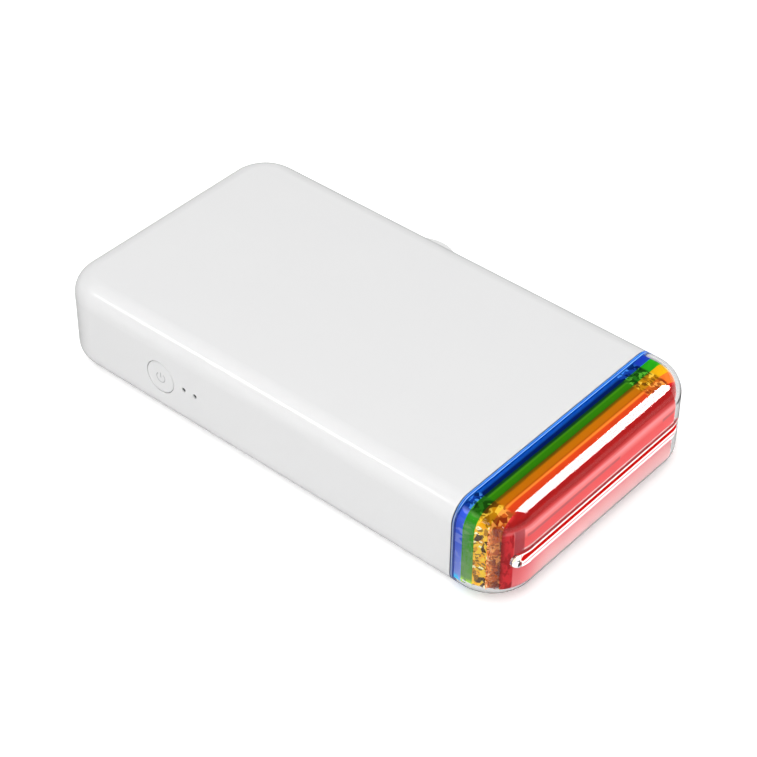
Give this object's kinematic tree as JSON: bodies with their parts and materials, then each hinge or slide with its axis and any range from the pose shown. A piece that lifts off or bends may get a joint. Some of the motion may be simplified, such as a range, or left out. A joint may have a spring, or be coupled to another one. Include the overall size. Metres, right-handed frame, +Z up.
{
  "type": "compact photo printer",
  "caption": "Pocket dye-transfer photo printer: rounded white case, clear colour-banded front with a print slot, side cartridge door, power button and charging port.",
  "frame": {"origin": "middle of the footprint, with the door's pull tab counted in, on the surface that the rubber feet rest on", "axes": "+Z up, -Y out of the print slot, +X towards the cartridge door"},
  "size_m": [0.082, 0.15, 0.027],
  "materials": {
    "shell_white": "smooth satin gloss, moulded white",
    "base_white": "fine matt texture, moulded white",
    "foot_rubber": "soft matt rubber",
    "clear_plastic": "polished clear plastic",
    "blue_band": "transparent tinted plastic",
    "green_band": "transparent tinted plastic",
    "yellow_band": "transparent tinted plastic",
    "orange_band": "transparent tinted plastic",
    "red_band": "transparent tinted plastic",
    "steel": "plain steel",
    "spring_steel": "bright sheet steel",
    "nylon": "natural moulded gear plastic",
    "brass": "machined brass",
    "black_plastic": "fine matt texture",
    "roller_rubber": "ground rubber",
    "grey_plastic": "fine matt texture",
    "circuit_board": "solder mask, satin",
    "cell_foil": "crimped foil",
    "photo_paper": "coated paper, satin",
    "dye_film": "thin dye film",
    "head_aluminium": "extruded aluminium",
    "port_metal": "drawn and plated steel"
  },
  "bodies": {
    "root": {"upper_shell": "shell_white", "base_cover": "base_white", "rubber_feet": "foot_rubber", "case_screws": "steel", "end_cap": "clear_plastic", "stripe_blue": "blue_band", "stripe_green": "green_band", "stripe_yellow": "yellow_band", "stripe_orange": "orange_band", "stripe_red": "red_band", "exit_frame": "base_white", "door_hinge_pins": "steel", "door_latch": "spring_steel", "power_switch": "black_plastic", "light_pipes": "clear_plastic", "side_board": "circuit_board", "main_board": "circuit_board", "usb_port": "port_metal", "reset_switch": "black_plastic", "battery": "cell_foil", "deck_plate": "grey_plastic", "left_side_plate": "spring_steel", "right_side_plate": "spring_steel", "cartridge_case": "black_plastic", "photo_paper": "photo_paper", "ribbon_film": "dye_film", "pinch_shaft": "steel", "idler_posts": "steel", "feed_motor": "steel", "head_pivot": "steel"},
    "door": {"cartridge_door": "shell_white"},
    "button": {"power_button": "shell_white"},
    "reset": {"reset_plunger": "nylon"},
    "platen": {"platen_shaft": "steel", "platen_roller": "roller_rubber", "platen_gear": "nylon"},
    "capstan": {"capstan_shaft": "steel", "capstan_gear": "nylon"},
    "pinch": {"pinch_roller": "roller_rubber"},
    "front_idler": {"front_idler": "nylon"},
    "rear_idler": {"rear_idler": "nylon"},
    "pick": {"pick_shaft": "steel", "pick_roller": "roller_rubber", "pick_gear": "nylon"},
    "pinion": {"motor_pinion": "brass"},
    "take_up": {"take_up_spool": "black_plastic", "take_up_gear": "nylon"},
    "supply": {"supply_spool": "dye_film"},
    "head": {"head_bracket": "spring_steel", "print_head": "head_aluminium"}
  },
  "joints": [
    {"name": "door_hinge", "type": "hinge", "parent": "root", "child": "door", "pos_m": [0.0372, 0.01, 0.0062], "axis": [0, 1, 0], "range_deg": [0, 88]},
    {"name": "power_press", "type": "slide", "parent": "root", "child": "button", "axis": [1, 0, 0], "range_m": [0, 0.0006], "stiffness_N_per_m": 300},
    {"name": "reset_press", "type": "slide", "parent": "root", "child": "reset", "axis": [0, -1, 0], "range_m": [0, 0.0003], "stiffness_N_per_m": 300},
    {"name": "head_lift", "type": "hinge", "parent": "root", "child": "head", "pos_m": [0, -0.01, 0.0219], "axis": [-1, 0, 0], "range_deg": [0, 3.8]},
    {"name": "capstan_spin", "type": "hinge", "parent": "root", "child": "capstan", "pos_m": [0, -0.045, 0.0102], "axis": [1, 0, 0], "continuous": true},
    {"name": "platen_spin", "type": "hinge", "parent": "root", "child": "platen", "pos_m": [0, -0.0295, 0.0066], "axis": [1, 0, 0], "continuous": true},
    {"name": "pinch_spin", "type": "hinge", "parent": "root", "child": "pinch", "pos_m": [0, -0.045, 0.0156], "axis": [1, 0, 0], "continuous": true},
    {"name": "front_idler_spin", "type": "hinge", "parent": "root", "child": "front_idler", "pos_m": [0, -0.0367, 0.00742], "axis": [1, 0, 0], "continuous": true},
    {"name": "rear_idler_spin", "type": "hinge", "parent": "root", "child": "rear_idler", "pos_m": [0, -0.02507, 0.01064], "axis": [1, 0, 0], "continuous": true},
    {"name": "pick_spin", "type": "hinge", "parent": "root", "child": "pick", "pos_m": [0, -0.0195, 0.0084], "axis": [1, 0, 0], "continuous": true},
    {"name": "pinion_spin", "type": "hinge", "parent": "root", "child": "pinion", "pos_m": [0, -0.05163, 0.0067], "axis": [1, 0, 0], "continuous": true},
    {"name": "take_up_spin", "type": "hinge", "parent": "root", "child": "take_up", "pos_m": [0, -0.03767, 0.01624], "axis": [1, 0, 0], "continuous": true},
    {"name": "supply_spin", "type": "hinge", "parent": "root", "child": "supply", "pos_m": [0, -0.0203, 0.0164], "axis": [1, 0, 0], "continuous": true}
  ],
  "couplings": [
    {"joint": "platen_spin", "follows": "capstan_spin", "ratio": 1.5},
    {"joint": "pinch_spin", "follows": "capstan_spin", "ratio": -1.3636},
    {"joint": "front_idler_spin", "follows": "capstan_spin", "ratio": -1.0588},
    {"joint": "rear_idler_spin", "follows": "capstan_spin", "ratio": -1.5},
    {"joint": "pick_spin", "follows": "capstan_spin", "ratio": 1.5},
    {"joint": "pinion_spin", "follows": "capstan_spin", "ratio": -1.5},
    {"joint": "take_up_spin", "follows": "capstan_spin", "ratio": -0.9},
    {"joint": "supply_spin", "follows": "capstan_spin", "ratio": -0.765}
  ]
}
